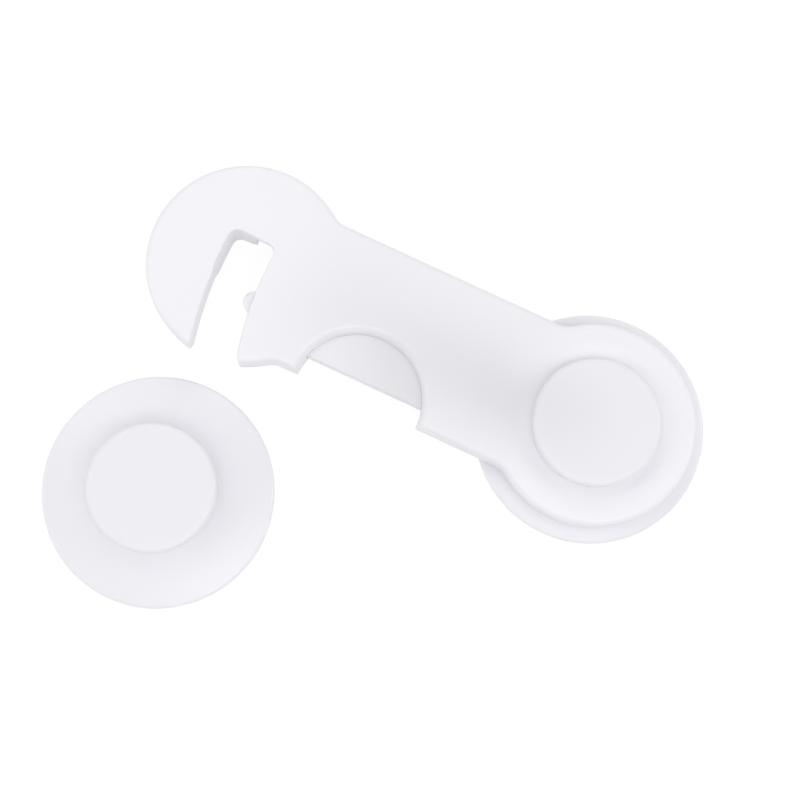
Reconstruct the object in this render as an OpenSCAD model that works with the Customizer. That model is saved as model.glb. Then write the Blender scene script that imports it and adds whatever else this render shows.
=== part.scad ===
// Swing-arm cabinet safety lock: the arm turns on one stick-on station and hooks under the cap of another.
// The origin is the arm's turning axis, on the surface that the lock is stuck to.
// +X runs along the arm from the hook to the turning axis, and +Z points away from the surface.
// Places in the hook are measured from the middle of the hook's round head.

/* [Stations] */
// Diameter of each round base
base_d = 40; // [36:0.5:46]
// Thickness of a base at its rim
base_rim_t = 1.4; // [1.1:0.1:2]
// Thickness of a base at its flat middle
base_mid_t = 2.75; // [2.6:0.05:3.6]
// Diameter of the flat middle of a base
base_flat_d = 17; // [14:0.5:22]
// Rounding of a base's rim
base_round = 0.5; // [0.2:0.05:0.5]
// Diameter of the neck between a base and its cap
neck_d = 7.4; // [6.8:0.1:8]
// Diameter of each mushroom cap
cap_d = 21.8; // [18:0.2:25]
// Thickness of each cap
cap_t = 2.5; // [2:0.1:3.5]
// Rounding of a cap's upper edge
cap_round = 0.8; // [0.3:0.1:1.2]
// Rounding of a cap's lower edge
cap_lip_round = 0.4; // [0.2:0.1:0.6]
// Diameter of the cap's stem, which stands inside the neck
stem_d = 4.4; // [4:0.1:5]
// Place of the strike station along X
strike_x = -63; // [-80:0.5:-55]
// Place of the strike station along Y
strike_y = -41.5; // [-60:0.5:-40]

/* [Stick-on pads] */
// Thickness of the adhesive foam
foam_t = 1; // [0.6:0.1:2]
// Distance of the foam's edge from the base's rim
foam_inset = 0.8; // [0.4:0.1:2]
// Thickness of the release liner under the foam
liner_t = 0.15; // [0.1:0.05:0.3]
// Distance of the liner's edge from the base's rim
liner_inset = 0.6; // [0.4:0.1:2]
// Width of the pull tab that is slit into the liner's edge
tab_w = 7; // [5:0.5:10]
// Length of the pull tab
tab_l = 3; // [2:0.5:5]
// Width of the slits beside the pull tab
tab_slit_w = 0.4; // [0.3:0.05:0.6]

/* [Station screws] */
// Diameter of the screw's shank
screw_d = 2.6; // [2.2:0.1:3]
// Length of the screw's shank
screw_l = 6.6; // [5:0.1:6.8]
// Diameter of the screw's head
screw_head_d = 5.2; // [4.4:0.1:6]
// Thickness of the screw's head
screw_head_t = 1.3; // [1:0.1:1.4]
// Thickness of the base under the screw's head
screw_floor_t = 1.1; // [0.8:0.1:1.4]

/* [Arm] */
// Distance from the turning axis to the middle of the hook
arm_l = 65.5; // [60:0.5:75]
// Diameter of the round head at each end of the arm
head_d = 34.6; // [32:0.2:38]
// Width of the bar between the heads
bar_w = 26.4; // [24:0.2:29]
// Radius of the hollow corners between the bar and the heads
blend_r = 4; // [3:0.5:6]
// Thickness of the arm
arm_t = 5.5; // [5.2:0.1:7]
// Rounding of the arm's upper edge
edge_round = 1.5; // [0.6:0.1:1.5]
// Thickness of the arm's side walls
wall_t = 1.6; // [1.2:0.1:2]
// Thickness of the arm's roof
roof_t = 1.4; // [1.2:0.1:1.6]
// Thickness of the arm's bottom cover
cover_t = 1.2; // [1:0.1:1.4]
// Diameter of the raised land around the turning bore
land_d = 14.6; // [13:0.2:16]
// Radius of the dish's section
dish_section_r = 9; // [8:0.5:10]
// Depth of the dish
dish_depth = 0.8; // [0.3:0.1:0.9]

/* [Hook] */
// Distance from the hook's middle to the slot's middle line, away from the turning axis
slot_offset = 0.6; // [0.2:0.1:1.5]
// Distance from the hook's middle to the slot's closed end
seat_y = 4.6; // [4:0.1:5.4]
// Rounding of the slot's closed corners
seat_round = 1.6; // [0.8:0.1:2.4]
// Thickness of the wall around the slot
slot_wall_t = 1.4; // [1:0.1:1.6]
// How far the latch tooth stands into the slot
tooth_reach = 1.7; // [1.2:0.1:2]
// Radius of the latch tooth's nose
tooth_r = 2.2; // [1.8:0.1:2.4]
// Place of the latch tooth below the hook's middle
tooth_y = -5.6; // [-6.5:0.1:-5]

/* [Release lever] */
// Distance from the hook's middle to the lever's pin
lever_pin_y = 10.5; // [10.1:0.1:10.8]
// Diameter of the lever's pin, moulded under the arm's roof
lever_pin_d = 3.2; // [2.6:0.1:3.6]
// Diameter of the lever's eye
lever_eye_d = 6.4; // [5.8:0.1:6.8]
// Distance from the hook's middle to the middle of the finger notch
notch_x = 26.9; // [25:0.1:30]
// Radius of the finger notch
notch_r = 11.2; // [10:0.1:12]
// Distance from the bar's edge to the straight front of the half-moon pad
pad_inset = 3.2; // [2.4:0.1:4]
// How far the pad reaches under the arm beyond the notch
pad_lap = 2.6; // [2.4:0.1:3]
// Width of the lever between its eye and its pad
lever_w = 5.9; // [5:0.1:6.5]
// How far the lever reaches past its tooth, towards the hook's mouth
lever_foot = 1.4; // [1:0.1:1.8]
// Outer diameter of the return spring
spring_d = 2.4; // [2.2:0.1:2.4]
// Diameter of the spring's wire
spring_wire_d = 0.35; // [0.25:0.05:0.4]
// Number of turns in the spring
spring_turns = 8; // [5:1:9]
// Length of the two pegs that the spring's ends stand on
peg_l = 1.6; // [1:0.1:2]

/* [Cover screws] */
// Diameter of the cover screw's shank
cover_screw_d = 1.9; // [1.6:0.1:2.2]
// Length of the cover screw
cover_screw_l = 4; // [3.4:0.1:4]
// Diameter of the cover screw's flat head
cover_screw_head_d = 3.6; // [3.2:0.1:4]
// Diameter of the bosses that the cover screws bite into
cover_boss_d = 4.4; // [4:0.1:4.8]

/* [Clearances] */
// Gap between the arm and the flat middle of a base
arm_under_gap = 0.2; // [0.15:0.05:0.4]
// Gap between the hook and the strike's cap
cap_under_gap = 0.3; // [0.25:0.05:0.5]
// Gap between the arm's land and the pivot cap
land_gap = 0.1; // [0.05:0.05:0.15]
// Radial clearance of a running bore on its pin
running_fit = 0.05; // [0.02:0.01:0.08]
// Radial clearance of a screw or stem that is held fast
held_fit = 0.03; // [0.02:0.01:0.06]
// Gap on each side of the neck in the hook's slot
neck_side_gap = 0.4; // [0.3:0.05:0.6]
// Gap above and below the lever, inside the arm
lever_gap = 0.2; // [0.15:0.05:0.3]
// Gap around the bottom cover
cover_fit = 0.1; // [0.08:0.02:0.2]
// Gap around the tooth in its window, and between the lever and the slot's wall
tooth_gap = 0.4; // [0.3:0.05:0.6]
// Gap at each end of the spring
spring_end_gap = 0.1; // [0.05:0.05:0.2]
// Gap between the spring and its pegs
peg_gap = 0.2; // [0.15:0.05:0.3]
// Gap between a cover boss and the arm's wall
boss_gap = 1.2; // [0.6:0.1:1.6]
// Gap around the head of a station screw
screw_head_gap = 0.3; // [0.2:0.05:0.4]
// Gap past the end of a screw or stem in its hole
hole_end_gap = 0.3; // [0.1:0.1:0.4]
// How deep a cover screw's head lies in the cover
cover_screw_sink = 0.05; // [0.02:0.01:0.1]

/* [Hidden] */
$fn = 96;
PLASTIC = [0.93, 0.93, 0.95];
FOAM = [0.86, 0.87, 0.88];
LINER = [0.93, 0.89, 0.76];
STEEL = [0.72, 0.73, 0.75];

// Heights of the stack, from the surface upwards
z_base = liner_t + foam_t;
z_flat = z_base + base_mid_t;
z_arm = z_flat + arm_under_gap;
z_cover = z_arm + cover_t;
z_top = z_arm + arm_t;
z_roof = z_top - roof_t;
z_cap = z_top + cap_under_gap;
z_land = z_cap - land_gap;

// Station sizes
base_r = base_d / 2;
neck_r = neck_d / 2;
cap_r = cap_d / 2;
stem_r = stem_d / 2;
screw_r = screw_d / 2;
screw_seat_z = z_base + screw_head_t + screw_head_gap;
screw_tip_l = 1;
neck_bore_z = screw_seat_z + screw_floor_t;

// Arm sizes
head_r = head_d / 2;
bar_half = bar_w / 2;
blend_y = bar_half + blend_r;
blend_x = sqrt(pow(head_r + blend_r, 2) - pow(blend_y, 2));
blend_angle = atan2(blend_y, blend_x);
blend_lap = 0.02; // how far a hollow corner cuts past the tangent, so that the surfaces cross cleanly
head_steps = 44;
blend_steps = 4;
edge_steps = 4;
bore_r = neck_r + running_fit;
pivot_boss_r = land_d / 2;
pivot_room_x = -(head_r + blend_r);
dish_r = cap_r;
pivot_roof_z = z_top - dish_depth - roof_t;
through = 1;

// Slot sizes: the slot is a ring segment around the turning axis, so that the neck runs along it
slot_r = arm_l + slot_offset;
slot_half = neck_r + neck_side_gap;
slot_steps = 12;
mouth_y = -head_r - through;
tooth_x = arm_l - sqrt(pow(slot_r - slot_half, 2) - pow(tooth_y, 2)) + tooth_r - tooth_reach;

// Lever sizes, measured from the hook's middle
z_lever = z_cover + lever_gap;
lever_t = z_roof - z_cover - 2 * lever_gap;
lever_pin_r = lever_pin_d / 2;
lever_eye_r = lever_eye_d / 2;
lever_foot_y = tooth_y - tooth_r - lever_foot;
lever_x = arm_l - sqrt(pow(slot_r - slot_half - slot_wall_t, 2) - pow(lever_foot_y, 2)) + tooth_gap;
tooth_root_half = tooth_r - tooth_gap / 2;
pad_front_y = pad_inset - bar_half;
pad_r = notch_r + pad_lap;
pad_top_y = pad_r - bar_half;

// Spring and its two pegs
spring_z = z_lever + lever_t / 2;
spring_wall_y = bar_half - wall_t;
spring_y0 = pad_top_y + spring_end_gap + spring_wire_d / 2;
spring_y1 = spring_wall_y - spring_end_gap - spring_wire_d / 2;
spring_mid_r = (spring_d - spring_wire_d) / 2;
spring_steps = 8;
spring_sides = 6;
peg_r = spring_mid_r - spring_wire_d / 2 - peg_gap;

// Cover screws, as places from the hook's middle: in the hook, in the bar and towards the pivot
cover_screw_places = [
    [-slot_offset - slot_half - slot_wall_t - cover_boss_d, 0],
    [notch_x - notch_r, bar_half - wall_t - cover_boss_d / 2 - boss_gap],
    [notch_x + pad_r + cover_boss_d, 0]];
cover_screw_r = cover_screw_d / 2;
cover_screw_head_r = cover_screw_head_d / 2;
cover_sink_t = cover_screw_head_r - cover_screw_r;
cover_screw_z = z_arm + cover_screw_sink;
cover_pilot_z = cover_screw_z + cover_screw_l + hole_end_gap;
cross_w = 0.6;
cross_depth = 0.7;

// Points on an arc, from step first to step last of n
function arc(centre, r, from, to, n, first = 0, last = -1) =
    [for (i = [first : last < 0 ? n : last])
        let (a = from + (to - from) * i / n) centre + r * [cos(a), sin(a)]];

// The arm's outline, drawn in by a distance
function arm_outline(inset) =
    let (r = head_r - inset, hollow = blend_r + inset, b = blend_angle, n = blend_steps)
    concat(
        arc([0, 0], r, b - 180, 180 - b, head_steps),
        arc([-blend_x, blend_y], hollow, -b, -90, n, first = 1),
        arc([blend_x - arm_l, blend_y], hollow, -90, b - 180, n, last = n - 1),
        arc([-arm_l, 0], r, b, 360 - b, head_steps),
        arc([blend_x - arm_l, -blend_y], hollow, 180 - b, 90, n, first = 1),
        arc([-blend_x, -blend_y], hollow, 90, b, n, last = n - 1));

// The slot's outline, widened by a distance, from its closed end to past the hook's rim
function slot_outline(grow) =
    let (r0 = slot_r - slot_half - grow, r1 = slot_r + slot_half + grow,
        corner = seat_round + grow, y1 = seat_y - seat_round,
        ys = [for (i = [0 : slot_steps]) mouth_y + (y1 - mouth_y) * i / slot_steps])
    concat(
        [for (i = [slot_steps : -1 : 0]) [-sqrt(r1 * r1 - ys[i] * ys[i]), ys[i]]],
        [for (i = [0 : slot_steps]) [-sqrt(r0 * r0 - ys[i] * ys[i]), ys[i]]],
        arc([-sqrt(r0 * r0 - y1 * y1) - corner, y1], corner, 0, 90, 4, first = 1),
        arc([-sqrt(r1 * r1 - y1 * y1) + corner, y1], corner, 90, 180, 4, last = 3));

// A solid through closed rings of points, each ring listed from below to above
module loft(rings) {
    n = len(rings[0]);
    m = len(rings);
    sides = [for (k = [0 : m - 2]) for (i = [0 : n - 1])
        let (a = k * n + i, b = k * n + (i + 1) % n)
        each [[a, a + n, b + n], [a, b + n, b]]];
    ends = [[for (i = [0 : n - 1]) i], [for (i = [n - 1 : -1 : 0]) (m - 1) * n + i]];
    polyhedron([for (ring = rings) each ring], concat(sides, ends), convexity = 8);
}

module at_hook() {
    translate([-arm_l, 0, 0]) children();
}

module at_strike() {
    translate([strike_x, strike_y, 0]) children();
}

// Station pieces, drawn on the turning axis
module liner() {
    r = base_r - liner_inset;
    color(LINER) difference() {
        cylinder(r = r, h = liner_t);
        for (side = [-1, 1])
            translate([(side * (tab_w + tab_slit_w) - tab_slit_w) / 2, -r - through, -through])
                cube([tab_slit_w, tab_l + through, liner_t + 2 * through]);
    }
}

module foam_pad() {
    color(FOAM) translate([0, 0, liner_t]) cylinder(r = base_r - foam_inset, h = foam_t);
}

module station_base() {
    low = [base_r - base_round, z_base + base_round];
    high = [base_r - base_round, z_base + base_rim_t - base_round];
    profile = concat([[0, z_base]], arc(low, base_round, -90, 0, 4),
        arc(high, base_round, 0, 90, 4, first = base_rim_t > 2 * base_round ? 0 : 1),
        [[base_flat_d / 2, z_flat], [0, z_flat]]);
    color(PLASTIC) difference() {
        union() {
            rotate_extrude() polygon(profile);
            translate([0, 0, z_base + base_rim_t]) cylinder(r = neck_r, h = z_cap - z_base - base_rim_t);
        }
        translate([0, 0, z_base - through])
            cylinder(r = screw_head_d / 2 + screw_head_gap, h = screw_seat_z - z_base + through);
        translate([0, 0, z_base]) cylinder(r = screw_r + held_fit, h = z_cap - z_base);
        translate([0, 0, neck_bore_z]) cylinder(r = stem_r + held_fit, h = z_cap - neck_bore_z + through);
    }
}

module station_cap() {
    low = [cap_r - cap_lip_round, z_cap + cap_lip_round];
    high = [cap_r - cap_round, z_cap + cap_t - cap_round];
    profile = concat([[0, z_cap]], arc(low, cap_lip_round, -90, 0, 4),
        arc(high, cap_round, 0, 90, 6), [[0, z_cap + cap_t]]);
    stem_z = neck_bore_z + hole_end_gap;
    color(PLASTIC) difference() {
        union() {
            rotate_extrude() polygon(profile);
            translate([0, 0, stem_z]) cylinder(r = stem_r, h = z_cap + cap_t / 2 - stem_z);
        }
        translate([0, 0, stem_z - through])
            cylinder(r = screw_r + held_fit, h = screw_seat_z + screw_l + hole_end_gap - stem_z + through);
    }
}

// The cross in a screw's head, cut from beneath
module cross_recess(head_w, head_t) {
    w = head_w * cross_w;
    for (turn = [0, 90])
        rotate([0, 0, turn]) translate([-w / 2, -w / 8, -through])
            cube([w, w / 4, head_t * cross_depth + through]);
}

module station_screw() {
    color(STEEL) translate([0, 0, screw_seat_z]) difference() {
        union() {
            translate([0, 0, -screw_head_t]) cylinder(d = screw_head_d, h = screw_head_t);
            cylinder(r = screw_r, h = screw_l - screw_tip_l);
            translate([0, 0, screw_l - screw_tip_l])
                cylinder(r1 = screw_r, r2 = screw_r / 4, h = screw_tip_l);
        }
        translate([0, 0, -screw_head_t]) cross_recess(screw_head_d, screw_head_t);
    }
}

// The rounding of the arm's upper edge, from a side at reach r up to the top: inwards (1) or outwards (-1)
function edge_points(r, way) =
    [for (i = [0 : edge_steps]) let (a = 90 * i / edge_steps)
        [r - way * edge_round * (1 - cos(a)), z_top - edge_round * (1 - sin(a))]];

// Arm pieces
module arm_head() {
    rotate_extrude() polygon(concat([[0, z_arm], [head_r, z_arm]], edge_points(head_r, 1), [[0, z_top]]));
}

// The wedge between a head and the bar, with the hollow corners cut from it
module arm_throat() {
    r = blend_r + blend_lap;
    difference() {
        translate([0, 0, z_arm]) linear_extrude(arm_t)
            polygon([[0, 0], [-blend_x, blend_y], [-blend_x, -blend_y]]);
        for (side = [-1, 1])
            translate([-blend_x, side * blend_y, 0])
                rotate_extrude() polygon(concat([[0, z_arm - through], [r, z_arm - through]],
                    edge_points(r, -1), [[r + edge_round, z_top + through], [0, z_top + through]]));
    }
}

module arm_bar() {
    edge = edge_points(bar_half, 1);
    x0 = blend_x - arm_l - through;
    translate([x0, 0, 0]) rotate([90, 0, 90]) linear_extrude(-arm_l - 2 * x0)
        polygon(concat([[-bar_half, z_arm], [bar_half, z_arm]], edge,
            [for (i = [edge_steps : -1 : 0]) [-edge[i].x, edge[i].y]]));
}

module arm_body() {
    arm_head();
    arm_throat();
    arm_bar();
    at_hook() {
        arm_head();
        rotate([0, 0, 180]) arm_throat();
    }
}

// The room inside the arm's walls, between two places along X
module arm_room(x0, x1, inset, slot_grow) {
    intersection() {
        difference() {
            polygon(arm_outline(inset));
            polygon(slot_outline(slot_grow));
        }
        translate([x0, -head_r]) square([x1 - x0, head_d]);
    }
}

module at_cover_screws() {
    for (place = cover_screw_places)
        at_hook() translate(place) children();
}

module finger_notch() {
    at_hook() translate([notch_x, -bar_half, z_arm - through])
        cylinder(r = notch_r, h = arm_t + 2 * through);
}

module slot_cut() {
    translate([0, 0, z_arm - through]) linear_extrude(arm_t + 2 * through) polygon(slot_outline(0));
}

// A peg for the spring, along +Y from the given place
module spring_peg(y) {
    translate([notch_x, y, spring_z]) rotate([-90, 0, 0]) cylinder(r = peg_r, h = peg_l + through);
}

module tooth_window() {
    half = tooth_r + tooth_gap;
    translate([tooth_x - 2 * tooth_r, tooth_y - half, z_cover])
        cube([2 * tooth_r + lever_w, 2 * half, z_roof - z_cover]);
}

module arm_shell() {
    far_x = -arm_l - head_r;
    color(PLASTIC) difference() {
        union() {
            difference() {
                arm_body();
                translate([0, 0, z_arm - through]) linear_extrude(z_roof - z_arm + through)
                    arm_room(far_x, pivot_room_x, wall_t, slot_wall_t);
                translate([0, 0, z_arm - through]) linear_extrude(pivot_roof_z - z_arm + through)
                    difference() {
                        arm_room(pivot_room_x - through / 2, head_r, wall_t, slot_wall_t);
                        circle(r = pivot_boss_r);
                    }
                rotate_extrude() translate([dish_r, z_top + dish_section_r - dish_depth])
                    circle(r = dish_section_r);
            }
            translate([0, 0, pivot_roof_z]) cylinder(r = pivot_boss_r, h = z_land - pivot_roof_z);
            at_cover_screws() translate([0, 0, z_cover])
                cylinder(d = cover_boss_d, h = z_top - roof_t / 2 - z_cover);
            at_hook() translate([0, lever_pin_y, z_lever])
                cylinder(r = lever_pin_r, h = z_top - roof_t / 2 - z_lever);
            at_hook() spring_peg(spring_wall_y - peg_l);
        }
        slot_cut();
        finger_notch();
        at_hook() tooth_window();
        translate([0, 0, z_arm - through]) cylinder(r = bore_r, h = z_cap - z_arm + 2 * through);
        at_cover_screws() translate([0, 0, z_arm])
            cylinder(r = cover_screw_r + held_fit, h = cover_pilot_z - z_arm);
    }
}

module arm_cover() {
    color(PLASTIC) difference() {
        translate([0, 0, z_arm]) linear_extrude(cover_t) difference() {
            arm_room(-arm_l - head_r, head_r, wall_t + cover_fit, slot_wall_t + cover_fit);
            circle(r = pivot_boss_r + cover_fit);
        }
        finger_notch();
        at_cover_screws() translate([0, 0, z_arm - through]) {
            cylinder(r = cover_screw_r + held_fit, h = cover_t + 2 * through);
            cylinder(r = cover_screw_head_r + held_fit, h = cover_screw_z - z_arm + through);
            translate([0, 0, cover_screw_z - z_arm + through])
                cylinder(r1 = cover_screw_head_r + held_fit, r2 = cover_screw_r + held_fit, h = cover_sink_t);
        }
    }
}

module cover_screw(place) {
    color(STEEL) at_hook() translate([place.x, place.y, cover_screw_z]) difference() {
        union() {
            cylinder(r1 = cover_screw_head_r, r2 = cover_screw_r, h = cover_sink_t);
            translate([0, 0, cover_sink_t]) cylinder(r = cover_screw_r, h = cover_screw_l - cover_sink_t);
        }
        cross_recess(cover_screw_head_d, cover_sink_t);
    }
}

module cover_screw_hook() { cover_screw(cover_screw_places[0]); }
module cover_screw_bar() { cover_screw(cover_screw_places[1]); }
module cover_screw_pivot() { cover_screw(cover_screw_places[2]); }

module lever_spring() {
    steps = spring_turns * spring_steps;
    pitch = (spring_y1 - spring_y0) / spring_turns;
    lead = atan2(pitch, 2 * PI * spring_mid_r);
    rings = [for (i = [0 : steps])
        let (a = 360 * i / spring_steps, out = [cos(a), 0, sin(a)],
            up = [sin(a) * sin(lead), cos(lead), -cos(a) * sin(lead)],
            centre = spring_mid_r * out + [0, spring_y0 + pitch * i / spring_steps, 0])
        [for (k = [0 : spring_sides - 1])
            let (t = 360 * k / spring_sides)
            centre + spring_wire_d / 2 * (cos(t) * out + sin(t) * up)]];
    echo(spring_gap = pitch * cos(lead) - spring_wire_d);
    color(STEEL) at_hook() translate([notch_x, 0, spring_z]) loft(rings);
}

module lever_plan() {
    pad_x0 = notch_x - pad_r;
    knee = [lever_x + lever_w, seat_y + slot_wall_t];
    translate([0, lever_pin_y]) circle(r = lever_eye_r);
    polygon([
        [0, lever_pin_y + lever_eye_r / 2],
        [lever_x, lever_pin_y + lever_eye_r / 2],
        knee,
        [notch_x - pad_r / 3, pad_top_y - pad_lap],
        [notch_x - pad_r / 3, lever_foot_y],
        [lever_x, lever_foot_y],
        [lever_x, seat_y - seat_round],
        [lever_x - seat_round, lever_pin_y - lever_eye_r],
        [0, lever_pin_y - lever_eye_r / 2]]);
    translate([tooth_x, tooth_y]) circle(r = tooth_r);
    translate([tooth_x, tooth_y - tooth_root_half]) square([lever_w, 2 * tooth_root_half]);
    intersection() {
        translate([notch_x, -bar_half]) circle(r = pad_r);
        translate([pad_x0, pad_front_y]) square([2 * pad_r, pad_r]);
    }
}

module release_lever() {
    color(PLASTIC) at_hook() difference() {
        union() {
            translate([0, 0, z_lever]) linear_extrude(lever_t) lever_plan();
            spring_peg(pad_top_y - through);
        }
        translate([0, lever_pin_y, z_lever - through])
            cylinder(r = lever_pin_r + running_fit, h = lever_t + 2 * through);
    }
}

module pivot_liner() { liner(); }
module pivot_foam_pad() { foam_pad(); }
module pivot_base() { station_base(); }
module pivot_screw() { station_screw(); }
module pivot_cap() { station_cap(); }
module strike_liner() { at_strike() liner(); }
module strike_foam_pad() { at_strike() foam_pad(); }
module strike_base() { at_strike() station_base(); }
module strike_screw() { at_strike() station_screw(); }
module strike_cap() { at_strike() station_cap(); }

pivot_liner();
pivot_foam_pad();
pivot_base();
pivot_screw();
pivot_cap();
arm_shell();
arm_cover();
cover_screw_hook();
cover_screw_bar();
cover_screw_pivot();
lever_spring();
release_lever();
strike_liner();
strike_foam_pad();
strike_base();
strike_screw();
strike_cap();
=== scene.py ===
"""Looks of a swing-arm cabinet lock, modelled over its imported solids.

All lengths are metres. The arm turns about Z at the origin, and +X runs from its hook to that axis.
"""

import math
from contextlib import contextmanager

import bmesh
import bpy
from mathutils import Matrix, Vector


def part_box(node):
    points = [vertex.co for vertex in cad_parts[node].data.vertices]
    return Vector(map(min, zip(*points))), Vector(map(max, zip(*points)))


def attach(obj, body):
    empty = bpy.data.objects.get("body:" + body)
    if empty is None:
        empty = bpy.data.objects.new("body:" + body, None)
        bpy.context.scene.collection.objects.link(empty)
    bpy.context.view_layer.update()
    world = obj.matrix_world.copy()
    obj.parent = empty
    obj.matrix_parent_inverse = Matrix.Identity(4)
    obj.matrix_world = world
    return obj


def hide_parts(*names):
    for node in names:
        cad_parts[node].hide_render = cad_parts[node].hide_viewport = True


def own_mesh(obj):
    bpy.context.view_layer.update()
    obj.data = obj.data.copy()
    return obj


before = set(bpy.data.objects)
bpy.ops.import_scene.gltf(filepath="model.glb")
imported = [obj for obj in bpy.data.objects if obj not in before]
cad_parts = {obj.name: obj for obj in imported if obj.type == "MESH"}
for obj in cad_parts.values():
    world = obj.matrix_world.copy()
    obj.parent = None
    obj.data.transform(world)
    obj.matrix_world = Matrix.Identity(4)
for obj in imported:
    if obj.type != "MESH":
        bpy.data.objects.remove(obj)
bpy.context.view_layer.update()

bl_info = {
    "name": "Swing-arm cabinet lock",
    "version": (1, 0, 0),
    "blender": (4, 5, 0),
    "location": "View3D > Sidebar > Cabinet Lock",
    "description": "Models a stick-on cabinet lock with a swing arm",
    "category": "Object",
}

MM = 0.001
NEAR = 1e-6  # how close two places are that count as one
LEVEL = 0.999  # how upright a level face's normal is, at the least
SIDES = 128  # sides of the round pieces
FLAT = math.cos(math.pi / SIDES)  # how far out the middle of such a side is, per radius
NOTCH_SIDES = 144  # sides of the finger notch's circle
SMALL_SIDES = 48  # sides of bosses, pins and screw heads
STEM_GAP = 0.03 * MM  # gap of a cap's stem in the neck's bore

BASE_LOW, BASE_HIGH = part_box("pivot_base")
CAP_LOW, CAP_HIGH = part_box("pivot_cap")
FOAM_LOW, FOAM_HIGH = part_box("pivot_foam_pad")
LINER_LOW, LINER_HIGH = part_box("pivot_liner")
ARM_LOW, ARM_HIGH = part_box("arm_shell")
COVER_LOW, COVER_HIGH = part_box("arm_cover")
LEVER_LOW, LEVER_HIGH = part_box("release_lever")
SPRING_LOW, SPRING_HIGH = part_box("lever_spring")
STRIKE_LOW, STRIKE_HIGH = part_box("strike_base")
STRIKE = Vector(((STRIKE_LOW.x + STRIKE_HIGH.x) / 2, (STRIKE_LOW.y + STRIKE_HIGH.y) / 2, 0))
COVER_SCREWS = ("cover_screw_hook", "cover_screw_bar", "cover_screw_pivot")

# The camera's turn and place, fitted to the lock's five round outlines, and its lens in millimetres
CAMERA = Matrix((
    (0.906973, -0.419755, 0.034726, -0.022284),
    (0.420568, 0.898082, -0.128731, -0.045295),
    (0.022848, 0.131360, 0.991071, 0.278505),
    (0, 0, 0, 1)))
LENS, SENSOR = 72.0, 36.0
# Each lamp's place from AIM, to the right, away and up as the camera sees it, its width, depth and power
LAMPS = (
    ("top_softbox", 0.0, 0.0, 0.80, 1.2, 1.2, 0.35),
    ("front_softbox", 0.07, -0.19, 0.65, 0.45, 0.22, 0.85),
    ("back_left_softbox", -0.30, 0.35, 0.65, 0.5, 0.4, 0.60),
    ("left_fill", -0.62, 0.0, 0.33, 0.4, 0.4, 0.67),
    ("right_fill", 0.62, 0.0, 0.33, 0.4, 0.4, 0.80),
    ("front_fill", 0.0, -0.62, 0.33, 0.4, 0.4, 0.45),
    ("back_fill", 0.0, 0.62, 0.33, 0.4, 0.4, 0.40),
)
AIM = Vector((-0.031, -0.015, 0.01))
HIGH_LAMP = 0.5  # a lamp higher than this faces straight down, and a lower one faces AIM
AMBIENT = 0.545  # the world's level, but where the camera sees it


def place(name, description, millimetres, **limits):
    return bpy.props.FloatProperty(name=name, description=description, default=millimetres * MM,
                                   precision=5, subtype="DISTANCE", unit="LENGTH", **limits)


def length(name, description, millimetres):
    return place(name, description, millimetres, min=0.0)


def tint(name, description, default):
    return bpy.props.FloatVectorProperty(name=name, description=description, default=default, size=3,
                                         min=0.0, max=1.0, subtype="COLOR")


def share(name, description, default):
    return bpy.props.FloatProperty(name=name, description=description, default=default, min=0.0,
                                   max=1.0, subtype="FACTOR")


class LockStationSizes(bpy.types.PropertyGroup):
    base_r: length("Base radius", "Radius of each round base", BASE_HIGH.x / MM)
    rim_t: length("Rim thickness", "Thickness of a base at its rim", 1.4)
    flat_t: length("Middle thickness", "Thickness of a base at its flat middle", 2.75)
    flat_r: length("Middle radius", "Radius of a base's flat middle", 8.5)
    rim_round: length("Rim rounding", "Rounding of a base's rim", 0.5)
    neck_r: length("Neck radius", "Radius of the neck under a cap", 3.7)
    neck_foot: length("Neck foot", "Fillet where the neck leaves the base", 0.15)
    bore_z: length("Neck bore", "Height of the neck bore's bottom", 3.85)
    seat_z: length("Screw seat", "Height of the screw head's seat", 2.75)
    recess_r: length("Screw recess", "Radius of the screw head's recess", 2.9)
    cap_r: length("Cap radius", "Radius of each mushroom cap", CAP_HIGH.x / MM)
    cap_round: length("Cap rounding", "Rounding of a cap's upper edge", 0.8)
    lip_round: length("Lip rounding", "Rounding of a cap's lower edge", 0.4)
    cap_dish: length("Cap dish", "How far a cap's face sinks to its middle", 0.12)
    stem_r: length("Stem radius", "Radius of the stem under a cap", 2.2)
    screw_r: length("Screw hole", "Radius of the screw's hole", 1.33)
    hole_top: length("Screw hole end", "Height of the screw hole's end", 9.65)
    tab_w: length("Tab width", "Width of the liner's pull tab", 7.0)
    tab_l: length("Tab length", "Length of the liner's pull tab", 3.0)
    slit_w: length("Slit width", "Width of the slits beside the pull tab", 0.4)


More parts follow.
